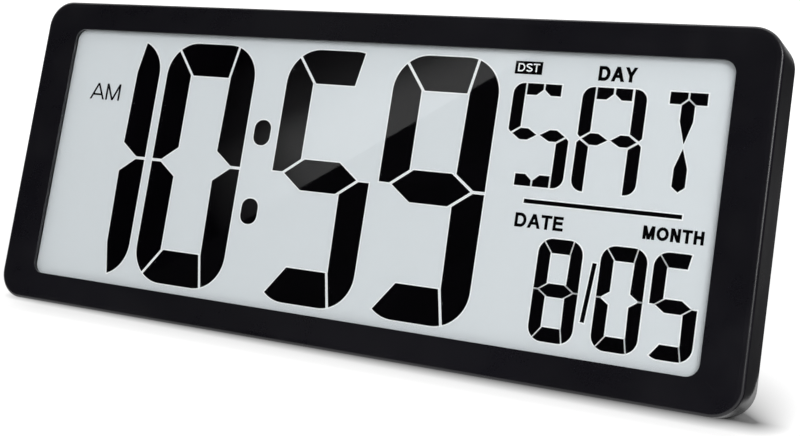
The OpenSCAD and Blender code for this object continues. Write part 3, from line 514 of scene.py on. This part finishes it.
def post(x, side):
    """An upright from its slanted end to the rounded outer corner; side is -1 left, 1 right."""
    outside = x + side * DAY_BAR
    heights = [DAY_MID + off for off in POST_END]
    end = list(zip((x, x + side * DAY_BAR * POST_TIP, outside), heights))
    return end + arc(outside - side * DAY_CORNER, DAY_TOP - DAY_CORNER, side * DAY_CORNER,
                     DAY_CORNER, 0, 90, 9) + [(x, DAY_TOP)]


def flip(shape):
    """The shape mirrored at the middle line."""
    return [(x, 2 * DAY_MID - z) for x, z in shape]


def top_bars(x0, x1, x2, x3):
    """A top bar in two halves, with the lower corners cut away where they meet."""
    cut = DAY_LOW + BAR_CUT_Z
    return [[(x0, DAY_TOP), (x1, DAY_TOP), (x1, cut), (x1 - BAR_CUT_X, DAY_LOW), (x0, DAY_LOW)],
            [(x2, DAY_TOP), (x3, DAY_TOP), (x3, DAY_LOW), (x2 + BAR_CUT_X, DAY_LOW), (x2, cut)]]


def middle_bar(tip0, flat0, flat1, tip1):
    """Half of a middle bar, pointed at both ends."""
    high, low = DAY_MID + DAY_RISE, DAY_MID - DAY_DROP
    return [(tip0, DAY_MID), (flat0, high), (flat1, high), (tip1, DAY_MID), (flat1, low), (flat0, low)]


def stem(tip, high, low, foot):
    """Half of the T's stem, pointed at both ends."""
    left, right = STEM_X - STEM_HALF, STEM_X + STEM_HALF
    return [(STEM_X, tip), (right, high), (right, low), (STEM_X, foot), (left, low), (left, high)]


def weekday_cells():
    """SAT in split segments, as measured on the display."""
    s_bars = top_bars(*S_TOP)
    shapes = [post(S_POSTS[0], -1), flip(post(S_POSTS[1], 1))]
    shapes += s_bars + [flip(bar) for bar in s_bars]
    shapes += [middle_bar(*places) for places in S_MIDDLE]
    for upright in (post(A_POSTS[0], -1), post(A_POSTS[1], 1)):
        shapes += [upright, flip(upright)]
    shapes += top_bars(*A_TOP) + [middle_bar(*places) for places in A_MIDDLE]
    return shapes + top_bars(*T_TOP) + [stem(*heights) for heights in STEMS]


def pale_edges(name, outlines):
    """The pale line round segments, on the display's face."""
    sheet_of(name, outlines, FILM_Y - EDGE_T, EDGE_T, EDGE)


for node in ("time_segments", "date_segments", "colon_dots"):
    pale_edges(node + "_edges", cell_outlines(node, EDGE_W))
pale_edges("weekday_edges", [grown_shape(s, EDGE_W) for s in weekday_cells()])
sheet_of("weekday_segments", weekday_cells(), CELL_Y, CELL_T, CELL)
sheet_of("am_letters", word("AM"), CELL_Y, CELL_T, CELL)
sheet_of("dst_box", [block(*DST_BOX)], CELL_Y, CELL_T - BOX_GAP, CELL)
sheet_of("dst_letters", word("DST"), CELL_Y - INK_T, INK_T, EDGE)
sheet_of("legends", word("DAY") + word("DATE") + word("MONTH"), FILM_Y - INK_T, INK_T, CELL)


# ---------------------------------------------------------------- floor, world, light, camera
# The studio: metres, and greys as shares of white
CAMERA = Vector((0.27962, -0.47248, 0.18357))
CAMERA_DOWN, CAMERA_TURN = 10.03, 27.8  # how far the camera looks down and to the left, degrees
LENS_MM = 58.65                # its focal length on a sensor 36 mm wide
CAMERA_SHIFT = -0.0781         # its shift upwards, as a share of the width
FLOOR_HALF = 6.0               # half the side of the floor
FLOOR_GREY = 0.6               # the floor's colour, as it lights the clock
FLOOR_SHADED = 0.22            # its colour, as it is seen: the part of its white that a shadow takes
FLOOR_NEAR, NEAR = 0.82, 0.3   # the floor's own white up to 0.3 m from the origin
FLOOR_FAR, FAR = 1.05, 0.8     # and from 0.8 m on
STAND_X = 0.18                 # half the width of the clock
PAINTED_SHADOW_LEFT = 0.009             # how far the painted shadow under the clock reaches out in front, at the left end
PAINTED_SHADOW_RIGHT = 0.015            # and at the right end
PAINTED_SHADOW_BEHIND = 0.09            # and behind it
PAINTED_SHADOW_CORE = 0.12              # the floor's own white right at the clock, before it is bent by the curve: the darkest of the painted shadow
PAINTED_SHADOW_CURVE = 0.8              # power of that curve, along which the painted shadow fades to full white over the reach
WORLD_FILL = 0.6               # even light from all round
FLAG_GREY = 0.008              # what the front and the ridge mostly reflect
FLAG_REACH = 1.4               # distance from the lens to the flag
FLAG_CORNERS = ((-900, -300), (420, -300), (420, 700), (-900, 700))     # seen in the window, mm
SIDE_GREY = 0.11               # what the right-hand wall reflects
SIDE_X = (0.60, 0.1805)        # the side card's far and near edge
SIDE_LOW = (-0.02, 0.001)      # y and z of its front edge, close to the floor
SIDE_HIGH = (0.60, 0.35)       # and of its back edge
SIDE_FADE = (-0.02, 0.23)      # where its tones run from and to, in y
RIDGE_X = 1.0                  # the ridge card's place, to the right of the clock
RIDGE_Y = (-0.55, 0.62)
RIDGE_Z = (0.001, 0.6)
GLARE = 0.55                   # the pale card in the lens's upper left
GLARE_REACH = 0.8              # distance from the lens to that card
GLARE_LOW = (-64.5, -34.0)     # the ends of its lower right edge, as seen in the window, mm
GLARE_HIGH = (70.8, 54.2)
GLARE_REST = ((95, 70), (-120, 70), (-140, -83))        # its other corners
GLARE_OFF = ((0, 8.1), (-35.5, 62.6))   # it fades from its edge straight away to here
GLARE_ALONG = (11.0, 15.2)     # it has its full strength from here on up the edge
LAMPS = (                      # place, what it looks at, size and watts
    ("key", (1.0, -1.1, 1.0), (0, 0, 0.07), (1.0, 0.8), 19),
    ("fill", (-1.5, 0.1, 0.9), (0, 0, 0.07), (0.8, 0.8), 6.5),
    ("top", (0.0, 0.2, 1.6), (0, 0, 0.05), (1.2, 0.8), 6.5),
)


def background_ray(t):
    """1 for the rays that show the background: from the camera, in gloss and through glass."""
    ray = t.node("LightPath").outputs
    seen = t.math("MAXIMUM", ray["Is Camera Ray"], ray["Is Glossy Ray"])
    return t.math("MAXIMUM", seen, ray["Is Transmission Ray"])


def studio_object(name, corners, look):
    """A flat piece of the studio with those corners."""
    o = mesh_object(name, corners, [list(range(len(corners)))], look)
    return o


def floor():
    """White floor: near the clock its own white is taken away as a painted shadow, on top of the weaker
    real shadow its light leaves, and further out it is plain white.
    """
    t = Tree("studio_floor")
    seen = background_ray(t)
    grain = t.span(t.noise(3, 2), 0.98, 1.02, *NOISE)
    lit = t.node("BsdfDiffuse", Color=t.math("MULTIPLY", grain, t.span(seen, FLOOR_GREY, FLOOR_SHADED)))
    # Painted shadow: from here on, a mask by distance from the clock's footprint takes the floor's own
    # white away near the clock.
    x, y, _ = t.split()
    reach = t.span(x, PAINTED_SHADOW_LEFT, PAINTED_SHADOW_RIGHT, -STAND_X, STAND_X)
    deep = t.math("MAXIMUM", y, 0.0)
    beside = t.math("ADD", t.math("SUBTRACT", t.math("ABSOLUTE", x), STAND_X), deep)
    sides = t.math("DIVIDE", t.math("MAXIMUM", beside, 0.0), t.math("ADD", deep, PAINTED_SHADOW_RIGHT))
    ahead = t.math("DIVIDE", t.math("MAXIMUM", t.math("MULTIPLY", y, -1.0), 0.0), reach)
    along = t.math("ADD", ahead, t.math("DIVIDE", deep, PAINTED_SHADOW_BEHIND))
    away = t.length(sides, along)
    clear = t.math("POWER", t.span(away, 0.0, 1.0, PAINTED_SHADOW_CORE, 1.0), PAINTED_SHADOW_CURVE)
    own = t.math("MULTIPLY", clear, t.span(t.length(x, y), FLOOR_NEAR, FLOOR_FAR, NEAR, FAR))
    glow = t.node("Emission", Color=(1, 1, 1, 1), Strength=t.math("MULTIPLY", seen, own))
    both = t.node("AddShader")
    t.link(lit.outputs[0], both.inputs[0])
    t.link(glow.outputs[0], both.inputs[1])
    s = FLOOR_HALF
    studio_object("floor", [(-s, -s, 0), (s, -s, 0), (s, s, 0), (-s, s, 0)], t.show(both))


def world():
    """Even studio light; the rays that show the background see plain white."""
    t = Tree("studio", "World")
    strength = t.span(background_ray(t), WORLD_FILL, 1.0)
    bpy.context.scene.world = t.show(t.node("Background", Color=(1, 1, 1, 1), Strength=strength))


def mirrored(point, reach):
    """Where a ray from the camera lands after the lens throws it back at that point of the window."""
    p = at(point[0], LENS_Y, WINDOW_Z + point[1])
    d = (p - CAMERA).normalized()
    return p + (d - 2 * d.dot(FACING) * FACING) * reach


def reflector(name, corners, paint):
    """A studio card that only reflections see; paint gives its strength from the card's node tree."""
    t = Tree(name + "_paint")
    glow = t.node("Emission", Color=(1, 1, 1, 1), Strength=paint(t))
    o = studio_object(name, corners, t.show(glow))
    o.visible_camera = False
    o.visible_diffuse = False
    o.visible_shadow = False
    o.visible_transmission = False


def fading(t, start, end):
    """0 at one point of the studio and 1 at another, evenly between."""
    a, b = Vector(start), Vector(end)
    way = (b - a) / (b - a).length_squared
    dot = t.placed("VectorMath")
    dot.operation = "DOT_PRODUCT"
    dot.inputs[1].default_value = way
    return t.math("SUBTRACT", dot.outputs["Value"], a.dot(way), clamp=True)


def flag_strength(t):
    """Nearly black, a little uneven."""
    return t.span(t.noise(2.0, 2), FLAG_GREY * 0.7, FLAG_GREY * 1.3, *NOISE)


def side_strength(t):
    """Half strength at the front edge, full strength 0.08 m back and less further back."""
    tones = t.ramp(fading(t, (0, SIDE_FADE[0], 0), (0, SIDE_FADE[1], 0)),
                   [(0.1, 0.5), (0.4, 1.0), (0.8, 0.4)])
    return t.math("MULTIPLY", SIDE_GREY, tones)


def glare_strength(t):
    """Strongest at the upper end of the lower right edge: it fades off that edge and down along it."""
    off = fading(t, *[mirrored(point, GLARE_REACH) for point in GLARE_OFF])
    along = fading(t, mirrored(GLARE_LOW, GLARE_REACH), mirrored(GLARE_ALONG, GLARE_REACH))
    fall = t.ramp(off, [(0.0, 1.0), (0.25, 0.95), (0.36, 0.72), (0.5, 0.22), (0.7, 0.1), (1.0, 0.0)])
    rise = t.ramp(along, [(0.05, 0.0), (0.2, 0.12), (0.45, 0.35), (0.65, 0.9), (1.0, 1.0)])
    return t.math("MULTIPLY", t.math("MULTIPLY", fall, rise), GLARE)


def lamp(name, place, aim, size, power):
    """A rectangular area lamp that looks at a point."""
    light = bpy.data.lights.new(name, "AREA")
    light.shape = "RECTANGLE"
    light.size, light.size_y = size
    light.energy = power
    o = bpy.data.objects.new(name, light)
    bpy.context.scene.collection.objects.link(o)
    o.location = place
    o.rotation_euler = (Vector(aim) - Vector(place)).to_track_quat("-Z", "Y").to_euler()


floor()
world()
reflector("flag", [mirrored(point, FLAG_REACH) for point in FLAG_CORNERS], flag_strength)
reflector("side_card", [(SIDE_X[0], *SIDE_LOW), (SIDE_X[0], *SIDE_HIGH),
                        (SIDE_X[1], *SIDE_HIGH), (SIDE_X[1], *SIDE_LOW)],
          side_strength)
reflector("ridge_card", [(RIDGE_X, RIDGE_Y[0], RIDGE_Z[0]), (RIDGE_X, RIDGE_Y[1], RIDGE_Z[0]),
                         (RIDGE_X, RIDGE_Y[1], RIDGE_Z[1]), (RIDGE_X, RIDGE_Y[0], RIDGE_Z[1])],
          flag_strength)
reflector("glare_card", [mirrored(point, GLARE_REACH)
                         for point in (GLARE_LOW, GLARE_HIGH, *GLARE_REST)],
          glare_strength)
for setting in LAMPS:
    lamp(*setting)

scene = bpy.context.scene
scene.view_settings.view_transform = "Standard"
cam = bpy.data.cameras.new("camera")
cam.sensor_width = 36
cam.lens = LENS_MM
cam.shift_y = CAMERA_SHIFT
cam.clip_start = 0.01
view = bpy.data.objects.new("camera", cam)
scene.collection.objects.link(view)
view.location = CAMERA
view.rotation_euler = (math.radians(90 - CAMERA_DOWN), 0, math.radians(CAMERA_TURN))
scene.camera = view
